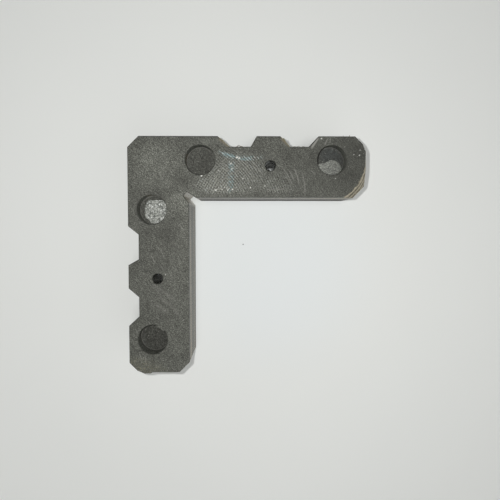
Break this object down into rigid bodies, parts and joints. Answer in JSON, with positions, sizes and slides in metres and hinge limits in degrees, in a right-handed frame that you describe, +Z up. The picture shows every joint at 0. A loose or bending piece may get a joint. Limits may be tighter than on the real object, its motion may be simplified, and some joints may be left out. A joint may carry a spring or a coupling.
{
  "type": "corner bracket",
  "caption": "L-shaped corner bracket with notched outer faces, blind round pockets, through holes and a relieved inner corner.",
  "frame": {"origin": "on the underside, where the two outer faces would meet at a sharp corner", "axes": "+X along the right arm, -Y along the lower arm, +Z up out of the face with the pockets"},
  "size_m": [0.08, 0.0804, 0.023],
  "materials": {
    "composite": "machined glass-fibre composite, matt dark grey, scuffed"
  },
  "bodies": {
    "root": {"corner_bracket": "composite"}
  },
  "joints": []
}
